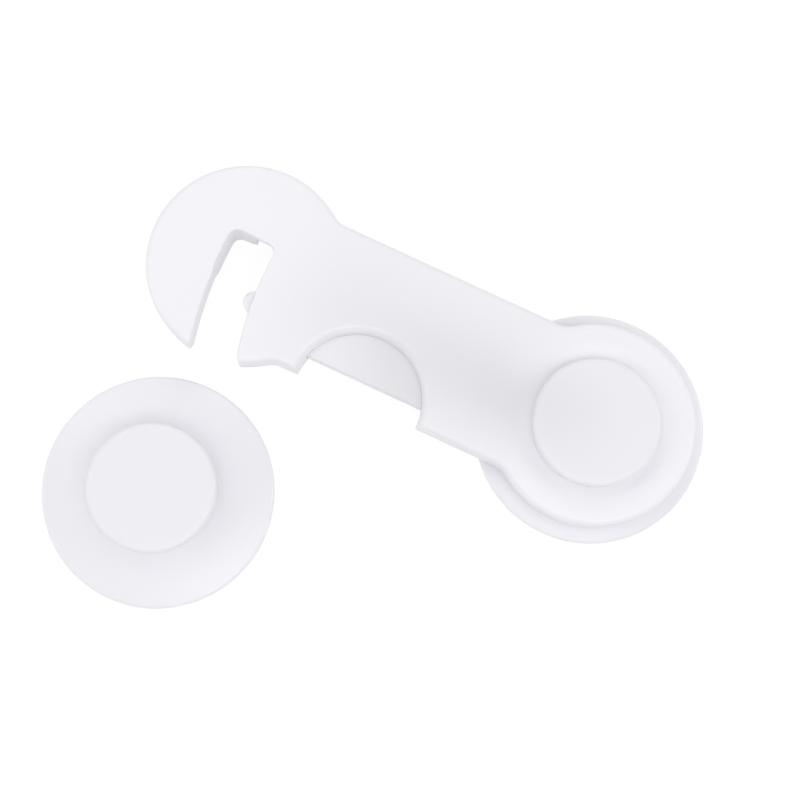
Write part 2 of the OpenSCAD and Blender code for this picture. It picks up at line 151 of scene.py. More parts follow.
class LockArmSizes(bpy.types.PropertyGroup):
    arm_l: length("Arm length", "From the turning axis to the hook's middle", (-ARM_LOW.x - ARM_HIGH.x) / MM)
    head_r: length("Head radius", "Radius of the round head at each end", ARM_HIGH.x / MM)
    bar_half: length("Half bar", "Half of the bar's width", 13.2)
    blend_r: length("Corner radius", "Radius of the hollow corners at the heads", 4.0)
    arm_t: length("Thickness", "Thickness of the arm", 5.5)
    edge_round: length("Edge rounding", "Rounding of the arm's upper edge", 1.0)
    foot_round: length("Foot rounding", "Rounding of the arm's lower edge", 0.25)
    rim_break: length("Slot edges", "Rounding of the slot's upper edges", 0.3)
    notch_round: length("Notch edge", "Depth of the notch edge's rounding", 1.45)
    notch_spread: length("Notch spread", "Width of the notch edge's rounding", 1.6)
    wall_t: length("Wall", "Thickness of the side walls", 1.6)
    roof_t: length("Roof", "Thickness of the roof", 1.4)
    pivot_roof_t: length("Pivot roof", "Thickness of the roof at the turning end", 2.2)
    land_r: length("Land radius", "Radius of the land around the bore", 7.3)
    bore_r: length("Bore radius", "Radius of the turning bore", 3.75)
    dish_r: length("Dish radius", "Radius of the ring dish around the cap", 10.9)
    dish_section: length("Dish section", "Radius of the ring dish's section", 9.0)
    dish_depth: length("Dish depth", "Depth of the ring dish", 0.5)
    trough: length("Trough depth", "How far the bar's middle sinks", 0.95)
    trough_half: length("Trough half width", "Half of the trough's width", 11.5)
    slot_r: length("Slot circle", "Radius of the slot's middle line", 66.1)
    slot_half: length("Half slot", "Half of the slot's width", 4.1)
    slot_wall: length("Slot wall", "Thickness of the wall around the slot", 1.4)
    seat_y: place("Slot end", "Place of the slot's closed end along Y", 4.6)
    seat_round: length("Slot corners", "Rounding of the slot's closed corners", 1.6)
    mouth_round: length("Slot mouth", "How far the slot's sides curve away", 0.7)
    seat_lean: length("Seat lean", "How far the seat's walls lean in at their foot", 0.30)
    notch_x: length("Notch place", "From the hook's middle to the finger notch", 26.9)
    notch_r: length("Notch radius", "Radius of the finger notch", 11.2)
    cover_fit: length("Cover gap", "Gap around the bottom cover", 0.1)
    boss_r: length("Screw boss", "Radius of the cover screws' bosses", 2.2)
    pilot_r: length("Pilot hole", "Radius of the cover screws' holes", 0.98)
    head_sink_r: length("Screw sink", "Radius of the countersinks in the cover", 1.83)


class LockLeverSizes(bpy.types.PropertyGroup):
    pin_y: length("Pin place", "From the hook's middle line to the lever's pin", 10.5)
    pin_r: length("Pin radius", "Radius of the lever's pin", 1.6)
    pin_fit: length("Pin gap", "Gap of the lever's eye on its pin", 0.05)
    eye_r: length("Eye radius", "Radius of the lever's eye", 3.2)
    body_x: length("Body place", "From the hook's middle to the lever's near side", 6.0)
    body_w: length("Body width", "Width of the lever between its eye and its pad", 5.9)
    foot_y: place("Foot", "Place of the lever's lower end along Y", -9.2)
    tooth_x: length("Tooth place", "From the hook's middle to the tooth's nose", 4.0)
    tooth_y: place("Tooth middle", "Place of the tooth's nose along Y", -5.5)
    tooth_r: length("Tooth radius", "Radius of the tooth's nose", 2.05)
    tooth_foot: place("Tooth foot", "Place of the tooth ramp's foot along Y", -7.8)
    pad_r: length("Pad radius", "Radius of the half-moon pad, under the arm too", 13.8)
    pad_front: place("Pad front", "Place of the pad's straight front along Y", -10.0)
    pad_fall: length("Pad fall", "How far the pad's face falls towards the notch", 0.12)
    pad_round: length("Pad edge", "Rounding of the pad's front edge", 0.35)
    peg_r: length("Peg radius", "Radius of the spring's pegs", 0.65)
    peg_l: length("Peg length", "Length of the spring's pegs", 1.6)
    wire_r: length("Wire radius", "Radius of the spring's wire", 0.175)
    turns: bpy.props.IntProperty(name="Turns", description="Turns of the spring", default=8, min=3)


class LockFinishes(bpy.types.PropertyGroup):
    plastic: tint("Plastic", "Colour of the white mouldings", (0.868, 0.860, 0.902))
    # How dark the painted shade makes the plastic where it is fullest
    grey_tone: share("Grey tone", "How much darker the full grey is", 0.13)
    plastic_rough: share("Plastic roughness", "How satin the mouldings are", 0.30)
    foam: tint("Foam", "Colour of the adhesive foam", (0.80, 0.81, 0.83))
    liner: tint("Liner", "Colour of the release paper", (0.85, 0.78, 0.60))
    steel: tint("Steel", "Colour of the screws and the spring", (0.62, 0.63, 0.65))
    floor: tint("Floor", "Colour of the floor", (0.92, 0.92, 0.92))


def deselect():
    if bpy.context.mode != "OBJECT":
        bpy.ops.object.mode_set(mode="OBJECT")
    bpy.ops.object.select_all(action="DESELECT")


def only(obj):
    deselect()
    obj.select_set(True)
    bpy.context.view_layer.objects.active = obj


@contextmanager
def shaping(obj):
    """Edit mode on one piece, with nothing selected in it."""
    only(obj)
    bpy.ops.object.mode_set(mode="EDIT")
    bpy.ops.mesh.select_all(action="DESELECT")
    yield
    bpy.ops.object.mode_set(mode="OBJECT")


def pick_all():
    bpy.ops.mesh.select_all(action="SELECT")


def pick(mode, parts, test):
    """Select the faces or the edges that pass a test, and nothing else."""
    bpy.ops.mesh.select_mode(type=mode)
    bpy.ops.mesh.select_all(action="DESELECT")
    data = bpy.context.edit_object.data
    mesh = bmesh.from_edit_mesh(data)
    found = [part for part in getattr(mesh, parts) if test(part)]
    if not found:
        raise RuntimeError("%s lacks the %s to shape" % (data.name, parts))
    for part in found:
        part.select_set(True)
    bmesh.update_edit_mesh(data)


def pick_faces(test):
    """Select the faces that pass a test, which gets a face's middle and its normal."""
    pick("FACE", "faces", lambda face: test(face.calc_center_median(), face.normal))


def pick_edges(test):
    """Select the edges that pass a test, which gets an edge's middle and the normals of its faces."""
    pick("EDGE", "edges", lambda edge: test((edge.verts[0].co + edge.verts[1].co) / 2,
                                            [face.normal for face in edge.link_faces]))


def inset(width, rise=0.0):
    bpy.ops.mesh.inset(thickness=width, depth=rise, use_even_offset=True)


def extrude(rise):
    bpy.ops.mesh.extrude_region_move(TRANSFORM_OT_translate={"value": (0, 0, rise)})


def bevel(width, segments):
    bpy.ops.mesh.bevel(offset=width, offset_type="OFFSET", segments=segments, profile=0.5, affect="EDGES")


def round_over(radius, steps, hollow=False):
    """Round the edge of the selected face, which ends as high again as the radius; hollow gives a fillet."""
    angles = spread(0, math.pi / 2, steps)
    for a, b in zip(angles, angles[1:]):
        first, second = math.cos(a) - math.cos(b), math.sin(b) - math.sin(a)
        width, rise = (second, first) if hollow else (first, second)
        inset(radius * width, radius * rise)


def lower(piece, fall):
    """Lower each point of a piece by what a function says of its place."""
    with shaping(piece):
        for vertex in bmesh.from_edit_mesh(piece.data).verts:
            vertex.co.z -= fall(vertex.co)
        bmesh.update_edit_mesh(piece.data)


def faces_up(height):
    return lambda middle, normal: normal.z > LEVEL and abs(middle.z - height) < NEAR


def faces_down(height):
    return lambda middle, normal: normal.z < -LEVEL and abs(middle.z - height) < NEAR


def ring_edges(radius, height):
    """A test for the edges of a round piece's ring about the Z axis."""
    reach = 0.02 * MM
    return lambda middle, normals: (abs(math.hypot(middle.x, middle.y) - radius * FLAT) < reach
                                    and abs(middle.z - height) < reach)


def is_corner(normals):
    """Whether an edge lies between a level face and an upright one."""
    return len(normals) == 2 and abs(normals[0].z - normals[1].z) > 0.5


def settled():
    """The newest object, with its place put into its mesh."""
    bpy.ops.object.transform_apply(location=True, rotation=True, scale=True)
    return bpy.context.object


def add_disc(x, y, radius, low, high, sides=SIDES):
    deselect()
    bpy.ops.mesh.primitive_cylinder_add(vertices=sides, radius=radius, depth=high - low,
                                        location=(x, y, (low + high) / 2))
    return settled()


def add_block(low, high):
    deselect()
    low, high = Vector(low), Vector(high)
    bpy.ops.mesh.primitive_cube_add(size=1.0, location=(low + high) / 2, scale=high - low)
    return settled()


def add_stack(*levels):
    """A closed form through levels from its foot up, each a height and an outline of as many points."""
    deselect()
    (low, points), *others = levels
    bpy.ops.mesh.primitive_circle_add(vertices=len(points), radius=MM, fill_type="NGON", location=(0, 0, 0))
    stack = bpy.context.object
    for vertex, (x, y) in zip(stack.data.vertices, points):
        vertex.co = x, y, low
    with shaping(stack):
        pick_all()
        for height, outline in others:
            extrude(height - low)
            for vertex in bmesh.from_edit_mesh(stack.data).verts:
                if vertex.select:
                    gaps = [math.hypot(vertex.co.x - x, vertex.co.y - y) for x, y in points]
                    vertex.co = *outline[gaps.index(min(gaps))], height
            bmesh.update_edit_mesh(stack.data)
            low, points = height, outline
        pick_all()
        bpy.ops.mesh.vert_connect_nonplanar(angle_limit=math.radians(0.5))
        bpy.ops.mesh.normals_make_consistent(inside=False)
    return stack


def add_slab(points, low, high):
    return add_stack((low, points), (high, points))


def flare(top, deep, wide, outline):
    """Levels that widen an outline to round the rim of what it cuts, and leave it through the top."""
    last, steps = math.radians(84), 6
    for turn in spread(0, last, steps):
        yield top - deep + deep * math.sin(turn), outline(wide * (1 - math.cos(turn)))
    yield top + deep * math.cos(last), outline(wide * (1 + math.sin(last)))


def combine(piece, tool, operation="DIFFERENCE"):
    """Cut a tool out of a piece, or join it on, and remove the tool."""
    only(piece)
    step = piece.modifiers.new("combine", "BOOLEAN")
    step.operation, step.object, step.solver = operation, tool, "EXACT"
    bpy.ops.object.modifier_apply(modifier=step.name)
    only(tool)
    bpy.ops.object.delete()


def twin(piece, offset):
    """A copy of a piece with its own mesh, moved by an offset."""
    only(piece)
    bpy.ops.object.duplicate()
    bpy.ops.transform.translate(value=offset)
    return settled()


def dress(piece, name, body, node, material, angle=35.0):
    """Close, shade and name a finished piece, and hang it on its body in the place of its CAD node."""
    with shaping(piece):
        pick_all()
        bpy.ops.mesh.remove_doubles(threshold=0.002 * MM)
    bpy.ops.object.shade_smooth_by_angle(angle=math.radians(angle))
    piece.name = piece.data.name = name
    piece.data.materials.clear()
    piece.data.materials.append(material)
    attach(piece, body)
    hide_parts(node)


def dress_pair(piece, part, form, material):
    """Dress a piece of the pivot station, and a copy of it for the strike."""
    pair = (("pivot", "pivot_station", piece), ("strike", "strike", twin(piece, STRIKE)))
    for station, body, made in pair:
        node = station + "_" + part
        dress(made, node + "_" + form, body, node, material)
    return [made for station, body, made in pair]


class Signal:
    """A shader socket that can stand in a Python sum, where each step adds its Math node."""

    def __init__(self, finish, socket):
        self.finish, self.socket = finish, socket

    def maths(self, operation, first, second):
        return self.finish.node("Math", {"operation": operation}, {0: first, 1: second})

    def __add__(self, other):
        return self.maths("ADD", self, other)

    def __radd__(self, other):
        return self.maths("ADD", other, self)

    def __sub__(self, other):
        return self.maths("SUBTRACT", self, other)

    def __rsub__(self, other):
        return self.maths("SUBTRACT", other, self)

    def __mul__(self, other):
        return self.maths("MULTIPLY", self, other)

    def __rmul__(self, other):
        return self.maths("MULTIPLY", other, self)

    def __abs__(self):
        return self.finish.node("Math", {"operation": "ABSOLUTE"}, {0: self})


class Finish:
    """A material or a world that is built up node by node."""

    def __init__(self, owner):
        self.owner = owner
        owner.use_nodes = True
        self.tree = owner.node_tree
        self.tree.nodes.clear()

    def node(self, kind, settings=None, sockets=None, output=0):
        """Add a node, set it, feed its sockets and give back one of its outputs."""
        made = self.tree.nodes.new("ShaderNode" + kind)
        for key, value in (settings or {}).items():
            setattr(made, key, value)
        for key, value in (sockets or {}).items():
            if isinstance(value, Signal):
                self.tree.links.new(value.socket, made.inputs[key])
            else:
                made.inputs[key].default_value = value
        return Signal(self, made.outputs[output]) if made.outputs else None

    def grain(self, scale, detail=3.0, roughness=0.5):
        """Noise over the piece, in patches of about one part in scale of a metre."""
        return self.node("TexNoise", None,
                         {"Vector": self.node("TexCoord", output="Object"), "Scale": scale,
                          "Detail": detail, "Roughness": roughness})

    def between(self, factor, first, second):
        """A colour between two others."""
        return self.node("Mix", {"data_type": "RGBA"},
                         {"Factor": factor, 6: (*first, 1.0), 7: (*second, 1.0)}, output=2)

    def ramp(self, value, start, end, kind="SMOOTHSTEP"):
        """0 up to start, 1 from end on, and between them on the way."""
        return self.node("MapRange", {"interpolation_type": kind},
                         {"Value": value, "From Min": start, "From Max": end})

    def relief(self, height, distance, strength):
        return self.node("Bump", None, {"Strength": strength, "Distance": distance, "Height": height},
                         output="Normal")

    def surface(self, **sockets):
        """Close the material with its shader; a key's underscores stand for spaces."""
        shader = self.node("BsdfPrincipled", None,
                           {key.replace("_", " "): value for key, value in sockets.items()})
        self.node("OutputMaterial", None, {"Surface": shader})
        return self.owner


def shade(colour, by):
    return tuple(part * by for part in colour)


def grey_arm(x, y, ramp):
    """The arm's painted shade: a little on its bar, and more and more along the bar's middle."""
    bar = ramp(x, -64 * MM, -46 * MM) * (1 - ramp(x, -15 * MM, -6 * MM))
    middle = (1 - ramp(abs(y + MM), 0, 14 * MM)) * ramp(x, -62 * MM, -19 * MM, "LINEAR")
    return 0.2 * bar + 0.8 * middle * (1 - ramp(x, -20 * MM, -3 * MM))


def grey_pad(x, y, ramp):
    """The lever pad's painted shade, which grows towards its pivot side."""
    return ramp(x, -54 * MM, -33 * MM, "LINEAR") * (0.85 + 0.3 * ramp(y, -11 * MM, -4 * MM, "LINEAR"))


def grey_cap(x, y, ramp):
    """The caps' grey: a little darker all over, and painted shade on the pivot cap's side towards the bar.
    """
    return 0.33 + 0.4 * (1 - ramp(abs(y + MM), 0, 12 * MM)) * (1 - ramp(x, -8 * MM, 7 * MM))


def made_once(fill):
    """A finish whose material is filled in at its first use, and used again after that."""
    def fetch(*grey):
        name = "_".join(part.__name__ for part in (fill, *grey))
        made = bpy.data.materials.get(name)
        return made or fill(Finish(bpy.data.materials.new(name)), bpy.context.scene.lock_finish, *grey)
    return fetch


@made_once
def satin_white(finish, finishes, grey=None):
    """Satin white moulded plastic: a faint cloudiness in its gloss, and a fine moulded skin.

    A piece's painted shade, where it has one, is a soft grey painted on its face where the lamps alone don't
    darken it; such a piece also starts a little lighter, as painted light.
    """
    cloud = finish.grain(90.0, detail=2.0)
    skin = finish.grain(2600.0, detail=2.0, roughness=0.6)
    swirl = finish.grain(320.0)
    tone, lightest = 0.08 * cloud, 1.004
    if grey:
        spot = finish.node("TexCoord", output="Object")
        x, y = (finish.node("SeparateXYZ", None, {"Vector": spot}, output=axis) for axis in "XY")
        # Painted shade by object position, and a painted lift to 1.035 that offsets the shade in hollows and
        # under the caps
        tone, lightest = tone + grey(x, y, finish.ramp), 1.035
    return finish.surface(
        Base_Color=finish.between(tone, shade(finishes.plastic, lightest),
                                  shade(finishes.plastic, 1 - finishes.grey_tone)),
        Roughness=finishes.plastic_rough - 0.05 + 0.06 * cloud + 0.04 * skin,
        IOR=1.47,
        Normal=finish.relief(0.35 * skin + 0.65 * swirl, distance=0.006 * MM, strength=0.5))


@made_once
def pad_foam(finish, finishes):
    """Closed-cell foam: small cells in its cut edge and a slightly mottled colour."""
    cells = finish.node("TexVoronoi", {"feature": "F1"},
                        {"Vector": finish.node("TexCoord", output="Object"), "Scale": 3200.0},
                        output="Distance")
    mottle = finish.grain(450.0, detail=4.0)
    return finish.surface(
        Base_Color=finish.between(mottle, finishes.foam, shade(finishes.foam, 0.9)),
        Roughness=0.82 + 0.1 * mottle,
        Normal=finish.relief(cells + 0.3 * mottle, distance=0.06 * MM, strength=0.7))


@made_once
def release_paper(finish, finishes):
    """Waxed release paper: fibres in its colour and a faint sheen."""
    turned = finish.node("Mapping", None, {"Vector": finish.node("TexCoord", output="Object"),
                                           "Rotation": (0.0, 0.0, 0.5), "Scale": (1.0, 6.0, 1.0)})
    fibre = finish.node("TexNoise", None, {"Vector": turned, "Scale": 420.0, "Detail": 5.0})
    cloud = finish.grain(140.0, detail=2.0)
    return finish.surface(
        Base_Color=finish.between(0.6 * fibre + 0.4 * cloud, shade(finishes.liner, 1.05),
                                  shade(finishes.liner, 0.88)),
        Roughness=0.42 + 0.15 * fibre,
        Normal=finish.relief(fibre, distance=0.01 * MM, strength=0.5))


@made_once
def plated_steel(finish, finishes):
    """Zinc-plated steel: a bright metal with a fine uneven gloss."""
    spangle = finish.grain(1500.0)
    smear = finish.grain(380.0, detail=4.0)
    return finish.surface(
        Base_Color=finish.between(smear, finishes.steel, shade(finishes.steel, 0.8)),
        Metallic=1.0,
        Roughness=0.24 + 0.16 * spangle + 0.08 * smear,
        Normal=finish.relief(spangle, distance=0.008 * MM, strength=0.4))


class LOCK_OT_bases(bpy.types.Operator):
    """Model the round base of a station, and copy it to the strike"""
    bl_idname = "lock.bases"
    bl_label = "Station bases"

    def execute(self, context):
        s = context.scene.lock_station
        foot, neck_top = BASE_LOW.z, BASE_HIGH.z
        flat, bore = foot + s.flat_t, s.stem_r + STEM_GAP
        flat_round, hole_break = 1.2 * MM, 0.15 * MM
        base = add_disc(0, 0, s.base_r, foot, foot + s.rim_t)
        with shaping(base):
            pick_faces(faces_up(foot + s.rim_t))
            inset(s.base_r - s.flat_r, s.flat_t - s.rim_t)
            inset(s.flat_r - s.neck_r - s.neck_foot)
            round_over(s.neck_foot, 3, hollow=True)
            extrude(neck_top - flat - s.neck_foot)
            inset(s.neck_r - bore)
            extrude(s.bore_z - neck_top)
            inset(bore - s.screw_r)
            pick_faces(faces_down(foot))
            inset(s.base_r - s.recess_r)
            extrude(s.seat_z - foot)
            inset(s.recess_r - s.screw_r)
            pick_faces(lambda middle, normal: middle.xy.length < NEAR)
            bpy.ops.mesh.bridge_edge_loops()
            rim = s.base_r * FLAT
            pick_edges(lambda middle, normals: abs(middle.xy.length - rim) < NEAR and is_corner(normals))
            bevel(s.rim_round, 5)
            pick_edges(ring_edges(s.flat_r, flat))
            bevel(flat_round, 3)
            pick_edges(ring_edges(s.recess_r, foot))
            bevel(hole_break, 2)
            pick_edges(ring_edges(bore, neck_top))
            bevel(hole_break, 2)
        dress_pair(base, "base", "moulding", satin_white())
        return {"FINISHED"}


class LOCK_OT_caps(bpy.types.Operator):
    """Model a mushroom cap with its stem, and copy it to the strike"""
    bl_idname = "lock.caps"
    bl_label = "Mushroom caps"

    def execute(self, context):
        s = context.scene.lock_station
        low, top = BASE_HIGH.z, CAP_HIGH.z
        dish_rings, dish_share = 9, 0.94  # the dish's rings, and how much of the face they take
        collar_w, collar_t, stem_break = 0.2 * MM, 0.05 * MM, 0.25 * MM
        cap = add_disc(0, 0, s.cap_r, low, top)
        with shaping(cap):
            pick_edges(ring_edges(s.cap_r, top))
            bevel(s.cap_round, 8)
            pick_edges(ring_edges(s.cap_r, low))
            bevel(s.lip_round, 5)
            pick_faces(faces_up(top))
            reach = s.cap_r - s.cap_round
            rings = [reach * (1 - dish_share * k / dish_rings) for k in range(dish_rings + 1)]
            sink = [s.cap_dish * (1 - (r / reach) ** 2) ** 2 for r in rings]
            for k in range(dish_rings):
                inset(rings[k] - rings[k + 1], sink[k] - sink[k + 1])
            pick_faces(faces_down(low))
            inset(s.cap_r - s.lip_round - s.stem_r - collar_w)
            inset(collar_w, collar_t)
            extrude(CAP_LOW.z - low + collar_t)
            inset(s.stem_r - s.screw_r)
            extrude(s.hole_top - CAP_LOW.z)
            pick_edges(ring_edges(s.stem_r, CAP_LOW.z))
            bevel(stem_break, 2)
        dress_pair(cap, "cap", "moulding", satin_white(grey_cap))
        return {"FINISHED"}


class LOCK_OT_foam_pads(bpy.types.Operator):
    """Model an adhesive foam pad, and copy it to the strike"""
    bl_idname = "lock.foam_pads"
    bl_label = "Foam pads"

    def execute(self, context):
        low, high, radius = FOAM_LOW.z, FOAM_HIGH.z, FOAM_HIGH.x
        cuts, waist = 5, 0.01  # rings round the cut edge, and how far its middle draws in
        face_rings = 0.5 * MM, 6.0 * MM  # widths of the rings on each flat face
        pad = add_disc(0, 0, radius, low, high)
        with shaping(pad):
            pick_edges(lambda middle, normals: abs(middle.z - (low + high) / 2) < NEAR)
            bpy.ops.mesh.subdivide(number_cuts=cuts)
            for t in spread(0, 1, cuts + 1)[1:-1]:
                pick_edges(lambda middle, normals: abs(middle.z - (low + (high - low) * t)) < NEAR)
                narrowed = 1 - waist * math.sin(math.pi * t)
                bpy.ops.transform.resize(value=(narrowed, narrowed, 1))
            for level_faces in (faces_down(low), faces_up(high)):
                pick_faces(level_faces)
                for width in face_rings:
                    inset(width)
        for piece in dress_pair(pad, "foam_pad", "cut", pad_foam()):
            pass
        return {"FINISHED"}


class LOCK_OT_liners(bpy.types.Operator):
    """Model a release liner with its pull tab, and copy it to the strike"""
    bl_idname = "lock.liners"
    bl_label = "Release liners"

    def execute(self, context):
        s = context.scene.lock_station
        low, high, radius = LINER_LOW.z, LINER_HIGH.z, LINER_HIGH.x
        slit_round, edge_break = 0.45 * s.slit_w, 0.03 * MM
        liner = add_disc(0, 0, radius, low, high)
        for side in (-1, 1):
            x = side * (s.tab_w + s.slit_w) / 2
            slit = add_block((x - s.slit_w / 2, -radius - MM, low - MM),
                             (x + s.slit_w / 2, s.tab_l - radius, high + MM))
            with shaping(slit):
                pick_edges(lambda middle, normals: abs(middle.z - (low + high) / 2) < NEAR
                           and middle.y > -radius)
                bevel(slit_round, 4)
            combine(liner, slit)
        with shaping(liner):
            pick_edges(lambda middle, normals: is_corner(normals))
            bevel(edge_break, 1)
        dress_pair(liner, "liner", "paper", release_paper())
        return {"FINISHED"}


class LOCK_OT_station_screws(bpy.types.Operator):
    """Give the station screws their plated finish"""
    bl_idname = "lock.station_screws"
    bl_label = "Station screws"

    def execute(self, context):
        finish = plated_steel()
        for node in ("pivot_screw", "strike_screw"):
            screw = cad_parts[node]
            screw.data.materials.clear()
            screw.data.materials.append(finish)
        return {"FINISHED"}


def spread(start, end, steps):
    """Even places from a start to an end, both of them included."""
    return [start + (end - start) * k / steps for k in range(steps + 1)]


def arc(x, y, radius, start, end, steps):
    """Points along an arc, both of its ends among them."""
    return [(x + radius * math.cos(turn), y + radius * math.sin(turn)) for turn in spread(start, end, steps)]


def arm_outline(s, inwards):
    """The arm's outline, drawn in by a distance."""
    y = s.bar_half + s.blend_r
    x = math.sqrt((s.head_r + s.blend_r) ** 2 - y ** 2)
    turn, half = math.atan2(y, x), math.pi / 2
    head, hollow = s.head_r - inwards, s.blend_r + inwards
    bar = s.arm_l
    head_steps, hollow_steps = 90, 12
    return (arc(0, 0, head, turn - math.pi, math.pi - turn, head_steps)
            + arc(-x, y, hollow, -turn, -half, hollow_steps)[1:]
            + arc(x - bar, y, hollow, -half, turn - math.pi, hollow_steps)[:-1]
            + arc(-bar, 0, head, turn, 2 * math.pi - turn, head_steps)
            + arc(x - bar, -y, hollow, math.pi - turn, half, hollow_steps)[1:]
            + arc(-x, -y, hollow, half, turn, hollow_steps)[:-1])


def slot_outline(s, grow, lean=0.0):
    """The slot's outline, widened by a distance; lean brings the seat's far and closed walls in."""
    near, far = s.slot_r - s.slot_half - grow, s.slot_r + s.slot_half + grow
    corner, end = s.seat_round + grow, s.seat_y - s.seat_round
    mouth = -s.head_r - MM
    step_start, step_end = -2.9 * MM, -3.3 * MM  # the small step in the far wall
    seat_steps, wall_steps, mouth_steps, corner_steps = 6, 14, 8, 8

    def side(radius, first, outwards):
        """One side's points from a place along Y to the mouth, where it curves away."""
        x = (s.head_r ** 2 - radius ** 2 - s.arm_l ** 2) / (2 * s.arm_l)
        brim = 2 * s.mouth_round - math.sqrt(radius ** 2 - x ** 2)
        return [(-math.sqrt(radius ** 2 - y * y)
                 + outwards * s.mouth_round * min(1.5, max(0.0, brim - y) / (2 * s.mouth_round)) ** 2, y)
                for y in spread(first, brim, wall_steps)[:-1] + spread(brim, mouth, mouth_steps)]

    outline = [(-math.sqrt((far - lean) ** 2 - y * y), y)
               for y in spread(end - lean, step_start, seat_steps)]
    outline += side(far, step_end, -1) + side(near, end, 1)[::-1]
    outline += arc(-math.sqrt(near ** 2 - end ** 2) - corner, end, corner, 0, math.pi / 2, corner_steps)[1:]
    outline += arc(outline[0][0] + corner, end - lean, corner, math.pi / 2, math.pi, corner_steps)[:-1]
    return outline


def eased(value, start, end):
    """0 before start, 1 after end, and smooth between them."""
    t = min(1.0, max(0.0, (value - start) / (end - start)))
    return t * t * (3 - 2 * t)


def top_dip(s, x, y):
    """How far the arm's top lies below its rim: the trough along the bar, and the ring dish."""
    start, deepest = 6 * MM, -15 * MM  # the trough starts past the hook and is deepest before the axis
    along = min(1.0, max(0.0, (x + s.arm_l - start) / (s.arm_l - start + deepest))) ** 2.2
    across = math.cos(math.pi / 2 * min(1.0, abs(y) / s.trough_half)) ** 2
    trough = s.trough * along * across * (1 - eased(x, -12 * MM, -3 * MM))
    away = math.hypot(x, y)
    off = away - s.dish_r
    ring = 0.0
    if abs(off) < s.dish_section:
        ring = max(0.0, math.sqrt(s.dish_section ** 2 - off ** 2) - s.dish_section + s.dish_depth)
    past_cap = eased(away, 10.0 * MM, 11.3 * MM)  # the top rises again under the cap
    join = 4  # how sharply the deeper of the two takes over
    return past_cap * (trough ** join + ring ** join) ** (1 / join)


def screw_places():
    """The cover screws' places: in the hook, in the bar and towards the turning axis."""
    boxes = [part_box(node) for node in COVER_SCREWS]
    return [((low.x + high.x) / 2, (low.y + high.y) / 2) for low, high in boxes]


def grid_top(piece, height, box, step):
    """Cut the flat faces at a height into a grid, within a box of x0, y0, x1, y1."""
    x0, y0, x1, y1 = box
    with shaping(piece):
        for normal, start, end in (((1, 0, 0), x0, x1), ((0, 1, 0), y0, y1)):
            for k in range(1, round((end - start) / step)):
                at = start + step * k
                pick_faces(faces_up(height))
                bpy.ops.mesh.bisect(plane_co=(at, at, 0), plane_no=normal, use_fill=False)


def add_peg(s, root, way):
    """A peg for one end of the spring, along Y from its root: way is 1 towards +Y and -1 towards -Y."""
    bury, sides, edge = 0.5 * MM, 24, 0.2 * MM
    peg = add_disc(0, 0, s.peg_r, -bury, s.peg_l, sides)
    with shaping(peg):
        pick_edges(lambda middle, normals: abs(middle.z - s.peg_l) < NEAR)
        bevel(edge, 2)
        pick_all()
        bpy.ops.transform.rotate(value=way * math.pi / 2, orient_axis="X", center_override=(0, 0, 0))
        bpy.ops.transform.translate(value=root)
    return peg


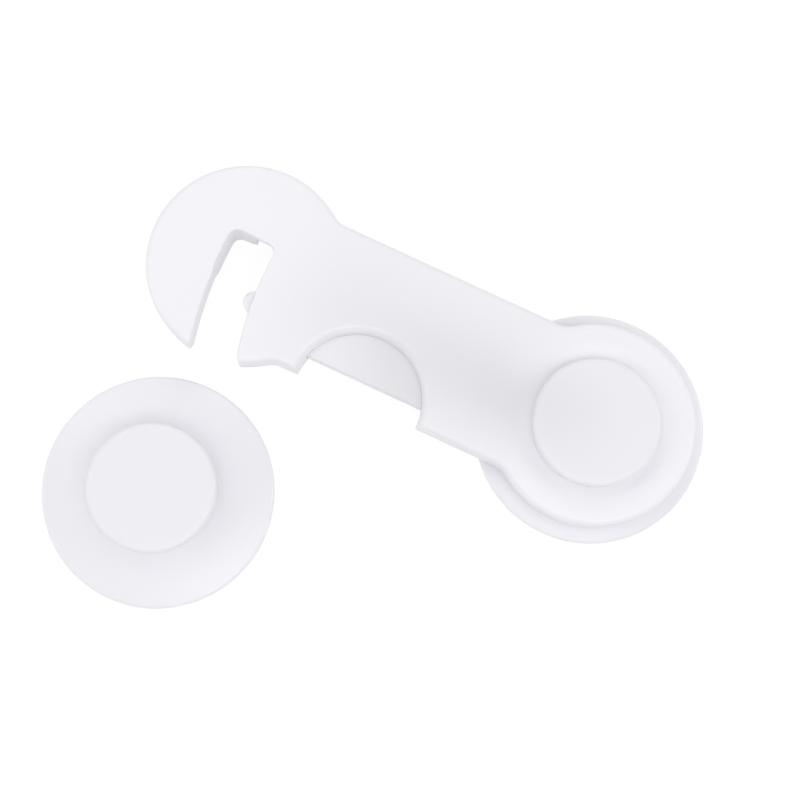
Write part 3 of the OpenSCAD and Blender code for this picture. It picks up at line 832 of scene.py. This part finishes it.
class LOCK_OT_arm(bpy.types.Operator):
    """Model the hollow arm with its hook slot, finger notch and dished top"""
    bl_idname = "lock.arm"
    bl_label = "Arm"

    def execute(self, context):
        s, lever = context.scene.lock_arm, context.scene.lock_lever
        foot, top = ARM_LOW.z, ARM_LOW.z + s.arm_t
        roof, pivot_roof = top - s.roof_t, top - s.pivot_roof_t
        hook = -s.arm_l
        notch = hook + s.notch_x
        past_side, past_pivot, past_hook = 20 * MM, 30 * MM, -100 * MM  # places outside the arm

        def slot(grow):
            """The slot above its foot, where the seat's walls stand back."""
            return slot_outline(s, grow, -0.65 * s.seat_lean)

        def ring(grow):
            return arc(notch, -s.bar_half, s.notch_r + grow, 0, 2 * math.pi, NOTCH_SIDES)[:-1]

        def dip(spot):
            """What the top's points are lowered by, down to the foot of the notch's rounding."""
            return top_dip(s, spot.x, spot.y) if spot.z > top - s.notch_round - NEAR else 0.0

        arm = add_slab(arm_outline(s, 0), foot, top - s.edge_round)
        with shaping(arm):
            pick_edges(lambda middle, normals: abs(middle.z - foot) < NEAR)
            bevel(s.foot_round, 3)
            pick_faces(faces_up(top - s.edge_round))
            round_over(s.edge_round, 8)
        combine(arm, add_stack((foot - MM, slot_outline(s, 0, s.seat_lean)),
                               *flare(top, s.rim_break, s.rim_break, slot)))
        combine(arm, add_stack((foot - MM, ring(0)), *flare(top, s.notch_round, s.notch_spread, ring)))
        grid_top(arm, top, (hook - s.head_r, -s.head_r, s.head_r, s.head_r), MM)
        lower(arm, dip)

        # The room under the roof goes round the slot, the notch's lip and the solid corners beside it
        lip_w, lip_gap = 0.8 * MM, 0.05 * MM
        corner_in, corner_half, corner_gap = 1.5 * MM, 3.5 * MM, 0.15 * MM
        split, lap = -(s.head_r + s.blend_r), 0.5 * MM  # where the roof's two depths meet
        room = add_slab(arm_outline(s, s.wall_t), foot - MM, roof)
        combine(room, add_slab(slot_outline(s, s.slot_wall), foot - 2 * MM, top))
        combine(room, add_disc(notch, -s.bar_half, s.notch_r + lip_w,
                               LEVER_HIGH.z + lip_gap, top, NOTCH_SIDES))
        for side in (-1, 1):
            x = notch + side * (s.notch_r + corner_in)
            combine(room, add_block((x - corner_half, -past_side, COVER_HIGH.z),
                                    (x + corner_half, lever.pad_front - corner_gap, top)))
        combine(room, add_block((split, -past_side, foot - 2 * MM), (past_pivot, past_side, top)))
        combine(arm, room)
        room = add_slab(arm_outline(s, s.wall_t), foot - MM, pivot_roof)
        combine(room, add_block((past_hook, -past_side, foot - 2 * MM), (split - lap, past_side, top)))
        combine(room, add_disc(0, 0, s.land_r, foot - 2 * MM, top))
        combine(arm, room)

        land_root, bite = 0.3 * MM, 0.2 * MM  # the land's foot over the roof's underside, the bosses' hold
        combine(arm, add_disc(0, 0, s.land_r, pivot_roof + land_root, ARM_HIGH.z), "UNION")
        for x, y in screw_places():
            combine(arm, add_disc(x, y, s.boss_r, COVER_HIGH.z, roof + bite, SMALL_SIDES), "UNION")
        pin = add_disc(hook, lever.pin_y, lever.pin_r, LEVER_LOW.z, roof + bite, SMALL_SIDES)
        combine(arm, pin, "UNION")
        wall = (notch, s.bar_half - s.wall_t, (LEVER_LOW.z + LEVER_HIGH.z) / 2)
        combine(arm, add_peg(lever, wall, -1), "UNION")
        combine(arm, add_disc(0, 0, s.bore_r, foot - MM, ARM_HIGH.z + MM))
        pilot_top, pilot_sides = 8.45 * MM, 32
        for x, y in screw_places():
            combine(arm, add_disc(x, y, s.pilot_r, foot, pilot_top, pilot_sides))

        # The tooth's window in the slot's near wall, and the relief beside the slot's closed end
        near, window_end, relief_end = hook - 0.5 * MM, hook + 12 * MM, hook + 3.3 * MM
        window_foot, window_head = -8.2 * MM, -3.0 * MM
        combine(arm, add_block((near, window_foot, COVER_HIGH.z), (window_end, window_head, roof)))
        combine(arm, add_block((near, s.seat_y - MM, foot - MM), (relief_end, s.seat_y + MM, roof)))
        dress(arm, "arm_moulding", "arm", "arm_shell", satin_white(grey_arm))
        return {"FINISHED"}


class LOCK_OT_cover(bpy.types.Operator):
    """Model the arm's bottom cover with its countersunk holes"""
    bl_idname = "lock.cover"
    bl_label = "Arm cover"

    def execute(self, context):
        s = context.scene.lock_arm
        low, high = COVER_LOW.z, COVER_HIGH.z
        edge_break, sink_lip = 0.12 * MM, 0.05 * MM
        cover = add_slab(arm_outline(s, s.wall_t + s.cover_fit), low, high)
        combine(cover, add_slab(slot_outline(s, s.slot_wall + s.cover_fit), low - MM, high + MM))
        notch = s.notch_x - s.arm_l
        combine(cover, add_disc(notch, -s.bar_half, s.notch_r, low - MM, high + MM, NOTCH_SIDES))
        combine(cover, add_disc(0, 0, s.land_r + s.cover_fit, low - MM, high + MM))
        with shaping(cover):
            pick_edges(lambda middle, normals: abs(middle.z - low) < NEAR and is_corner(normals))
            bevel(edge_break, 2)
        for x, y in screw_places():
            sink = add_disc(x, y, s.head_sink_r, low - MM, low + sink_lip, SMALL_SIDES)
            with shaping(sink):
                pick_faces(faces_up(low + sink_lip))
                inset(s.head_sink_r - s.pilot_r, s.head_sink_r - s.pilot_r)
                extrude(2 * MM)
            combine(cover, sink)
        dress(cover, "arm_cover_moulding", "arm", "arm_cover", satin_white())
        return {"FINISHED"}


class LOCK_OT_cover_screws(bpy.types.Operator):
    """Model a flat-headed cover screw, and copy it to its three places"""
    bl_idname = "lock.cover_screws"
    bl_label = "Cover screws"

    def execute(self, context):
        low, high = (corner.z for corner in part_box(COVER_SCREWS[0]))
        head_r, shank_r, rim_t = 1.8 * MM, 0.95 * MM, 0.12 * MM
        tip_in, tip_l = 0.45 * MM, 0.5 * MM
        cross_l, cross_w, cross_t = 1.08 * MM, 0.27 * MM, 0.6 * MM  # halves of the cross's sizes, its depth
        cone = head_r - shank_r
        screw = add_disc(0, 0, head_r, low, low + rim_t, SMALL_SIDES)
        with shaping(screw):
            pick_faces(faces_up(low + rim_t))
            inset(cone, cone - rim_t)
            extrude(high - low - cone - tip_l)
            inset(tip_in, tip_l)
        for x, y in ((cross_w, cross_l), (cross_l, cross_w)):
            combine(screw, add_block((-x, -y, low - MM), (x, y, low + cross_t)))
        finish = plated_steel()
        copies = [twin(screw, (x, y, 0)) for x, y in screw_places()]
        only(screw)
        bpy.ops.object.delete()
        for piece, node in zip(copies, COVER_SCREWS):
            dress(piece, node + "_turned", "arm", node, finish)
        return {"FINISHED"}


class LOCK_OT_lever(bpy.types.Operator):
    """Model the release lever with its eye, latch tooth and half-moon pad"""
    bl_idname = "lock.lever"
    bl_label = "Release lever"

    def execute(self, context):
        s, arm = context.scene.lock_lever, context.scene.lock_arm
        low, high = LEVER_LOW.z, LEVER_HIGH.z
        hook = -arm.arm_l
        notch, pad_top = arm.notch_x, s.pad_r - arm.bar_half
        reach = math.acos((s.pad_front + arm.bar_half) / s.pad_r)
        half = math.pi / 2
        pad_start, shoulder = 12 * MM, 2.6 * MM  # where the pad's face starts, and the body's drop beside it
        pad_steps, eye_sides, nose_steps = 60, 64, 18
        field = (hook - MM / 2, -10.5 * MM, hook + 41 * MM, 14 * MM)  # what the grid on its top takes in

        def fall(spot):
            """How far the pad's face falls: most at its round edge, and more on its pivot side."""
            u = spot.x - hook
            if spot.z <= high - NEAR or u <= pad_start:
                return 0.0
            away = math.hypot(u - notch, spot.y - s.pad_front) / arm.notch_r
            lean = 0.35 + 0.65 * eased(u, notch - 9 * MM, notch + 9 * MM)
            return s.pad_fall * lean * min(1.0, away * away)

        pad = arc(hook + notch, -arm.bar_half, s.pad_r, half - reach, half + reach, pad_steps)
        lever = add_slab(pad, low, high)
        body = [(0, s.pin_y + s.eye_r / 2), (s.body_x, s.pin_y + s.eye_r / 2),
                (s.body_x + s.body_w, arm.seat_y + arm.slot_wall),
                (notch - s.pad_r / 3, pad_top - shoulder), (notch - s.pad_r / 3, s.foot_y),
                (s.body_x, s.foot_y), (s.body_x, arm.seat_y - arm.seat_round),
                (s.body_x - arm.seat_round, s.pin_y - s.eye_r), (0, s.pin_y - s.eye_r / 2)]
        combine(lever, add_slab([(hook + x, y) for x, y in body], low, high), "UNION")
        combine(lever, add_disc(hook, s.pin_y, s.eye_r, low, high, eye_sides), "UNION")
        nose = arc(s.tooth_x, s.tooth_y, s.tooth_r, math.radians(80), math.radians(200), nose_steps)
        ramp = [(s.tooth_x, s.tooth_foot), (s.body_x + MM, s.tooth_foot), (s.body_x + MM, nose[0][1])]
        combine(lever, add_slab([(hook + x, y) for x, y in nose + ramp], low, high), "UNION")
        with shaping(lever):
            pick_all()
            bpy.ops.mesh.dissolve_limited(angle_limit=math.radians(0.1))
        grid_top(lever, high, field, MM)
        lower(lever, fall)
        with shaping(lever):
            pick_edges(lambda middle, normals: abs(middle.y - s.pad_front) < NEAR
                       and middle.z > (low + high) / 2 and is_corner(normals))
            bevel(s.pad_round, 4)
            pick_edges(lambda middle, normals: middle.x - hook < s.body_x - 10 * NEAR and middle.y < 0
                       and middle.z > high - NEAR and is_corner(normals))
            tooth_round = 0.25 * MM
            bevel(tooth_round, 3)
        combine(lever, add_peg(s, (hook + notch, pad_top, (low + high) / 2), 1), "UNION")
        combine(lever, add_disc(hook, s.pin_y, s.pin_r + s.pin_fit, low - MM, high + MM, SMALL_SIDES))
        dress(lever, "lever_moulding", "lever", "release_lever", satin_white(grey_pad))
        return {"FINISHED"}


class LOCK_OT_spring(bpy.types.Operator):
    """Wind the lever's return spring"""
    bl_idname = "lock.spring"
    bl_label = "Lever spring"

    def execute(self, context):
        s, arm = context.scene.lock_lever, context.scene.lock_arm
        middle = (SPRING_LOW + SPRING_HIGH) / 2
        coil_r = (SPRING_HIGH.z - SPRING_LOW.z) / 2 - s.wire_r
        rise = SPRING_HIGH.y - SPRING_LOW.y - 2 * s.wire_r
        wire_sides, turn_steps = 10, 24
        deselect()
        bpy.ops.mesh.primitive_circle_add(vertices=wire_sides, radius=s.wire_r, fill_type="NOTHING",
                                          location=(coil_r, 0, 0))
        spring = settled()
        wind = spring.modifiers.new("wind", "SCREW")
        wind.axis, wind.angle, wind.screw_offset = "Y", 2 * math.pi * s.turns, rise
        wind.steps = wind.render_steps = turn_steps * s.turns
        wind.use_merge_vertices = False
        bpy.ops.object.modifier_apply(modifier=wind.name)
        with shaping(spring):
            bpy.ops.mesh.select_mode(type="EDGE")
            bpy.ops.mesh.select_non_manifold()
            bpy.ops.mesh.fill_holes(sides=0)
            pick_all()
            bpy.ops.mesh.normals_make_consistent(inside=False)
            bpy.ops.transform.translate(value=(middle.x, SPRING_LOW.y + s.wire_r, middle.z))
        dress(spring, "lever_spring_wound", "arm", "lever_spring", plated_steel(), angle=60.0)
        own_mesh(spring)
        return {"FINISHED"}


def seen_ray(finish):
    """1 for a ray from the camera, a reflection or clear plastic, and 0 for one that only lights."""
    rays = [finish.node("LightPath", output=name)
            for name in ("Is Camera Ray", "Is Glossy Ray", "Is Transmission Ray")]
    return finish.node("Math", {"operation": "MINIMUM"}, {0: rays[0] + rays[1] + rays[2], 1: 1.0})


class LOCK_OT_stage(bpy.types.Operator):
    """Set the floor, the world, the lamps and the camera"""
    bl_idname = "lock.stage"
    bl_label = "Stage"

    def execute(self, context):
        scene = context.scene
        scene.view_settings.view_transform = "Standard"
        white = (1, 1, 1, 1)
        floor_w, floor_drop = 2.4, 0.05 * MM  # just clear of the liners' undersides
        glow_level, glow_share = 1.06, 0.86  # the floor's plain white, and its share over the paint
        deselect()
        bpy.ops.mesh.primitive_plane_add(size=floor_w, location=(0, 0, -floor_drop))
        floor = settled()
        floor.name = floor.data.name = "floor"
        paint = Finish(bpy.data.materials.new("floor_paint"))
        matt = paint.node("BsdfDiffuse", None, {"Color": (*scene.lock_finish.floor, 1.0)})
        glow = paint.node("Emission", None, {"Color": white, "Strength": glow_level})
        lit = paint.node("MixShader", None, {0: seen_ray(paint) * glow_share, 1: matt, 2: glow})
        beneath = paint.node("NewGeometry", output="Backfacing")
        clear = paint.node("BsdfTransparent")
        paint.node("OutputMaterial", None,
                   {"Surface": paint.node("MixShader", None, {0: beneath, 1: lit, 2: clear})})
        floor.data.materials.append(paint.owner)

        scene.world = bpy.data.worlds.new("studio")
        sky = Finish(scene.world)
        level = sky.node("MapRange", None, {"Value": seen_ray(sky), "To Min": AMBIENT, "To Max": 1.0})
        light = sky.node("Background", None, {"Color": white, "Strength": level})
        sky.node("OutputWorld", None, {"Surface": light})

        right = Vector((CAMERA[0][0], CAMERA[1][0], 0))
        up = Vector((-right.y, right.x, 0))
        for name, across, along, height, wide, deep, power in LAMPS:
            spot = AIM + right * across + up * along + Vector((0, 0, height))
            deselect()
            bpy.ops.object.light_add(type="AREA", location=spot)
            lamp = bpy.context.object
            lamp.name = lamp.data.name = name
            lamp.visible_camera = False
            lamp.data.shape, lamp.data.energy = "RECTANGLE", power
            lamp.data.size, lamp.data.size_y = wide, deep
            if height > HIGH_LAMP:
                lamp.rotation_euler = (0, 0, math.atan2(right.y, right.x))
            else:
                lamp.rotation_euler = (AIM - spot).to_track_quat("-Z", "Y").to_euler()

        deselect()
        bpy.ops.object.camera_add(location=(0, 0, 0))
        camera = bpy.context.object
        camera.data.lens, camera.data.sensor_width = LENS, SENSOR
        camera.data.clip_start = 0.01
        camera.matrix_world = CAMERA
        scene.camera = camera
        return {"FINISHED"}


class LOCK_PT_pieces(bpy.types.Panel):
    bl_label = "Cabinet lock"
    bl_space_type = "VIEW_3D"
    bl_region_type = "UI"
    bl_category = "Cabinet Lock"

    def draw(self, context):
        for operator in OPERATORS:
            self.layout.operator(operator.bl_idname)
        for name, group in GROUPS:
            column = self.layout.column()
            for key in group.__annotations__:
                column.prop(getattr(context.scene, name), key)


OPERATORS = (LOCK_OT_bases, LOCK_OT_caps, LOCK_OT_foam_pads, LOCK_OT_liners, LOCK_OT_station_screws,
             LOCK_OT_arm, LOCK_OT_cover, LOCK_OT_cover_screws, LOCK_OT_lever, LOCK_OT_spring, LOCK_OT_stage)
GROUPS = (("lock_station", LockStationSizes), ("lock_arm", LockArmSizes), ("lock_lever", LockLeverSizes),
          ("lock_finish", LockFinishes))


def register():
    for name, group in GROUPS:
        bpy.utils.register_class(group)
        setattr(bpy.types.Scene, name, bpy.props.PointerProperty(type=group))
    for made in OPERATORS + (LOCK_PT_pieces,):
        bpy.utils.register_class(made)


def unregister():
    for made in reversed(OPERATORS + (LOCK_PT_pieces,)):
        bpy.utils.unregister_class(made)
    for name, group in reversed(GROUPS):
        delattr(bpy.types.Scene, name)
        bpy.utils.unregister_class(group)


def main():
    register()
    for operator in OPERATORS:
        family, name = operator.bl_idname.split(".")
        getattr(getattr(bpy.ops, family), name)()


if __name__ == "__main__":
    main()
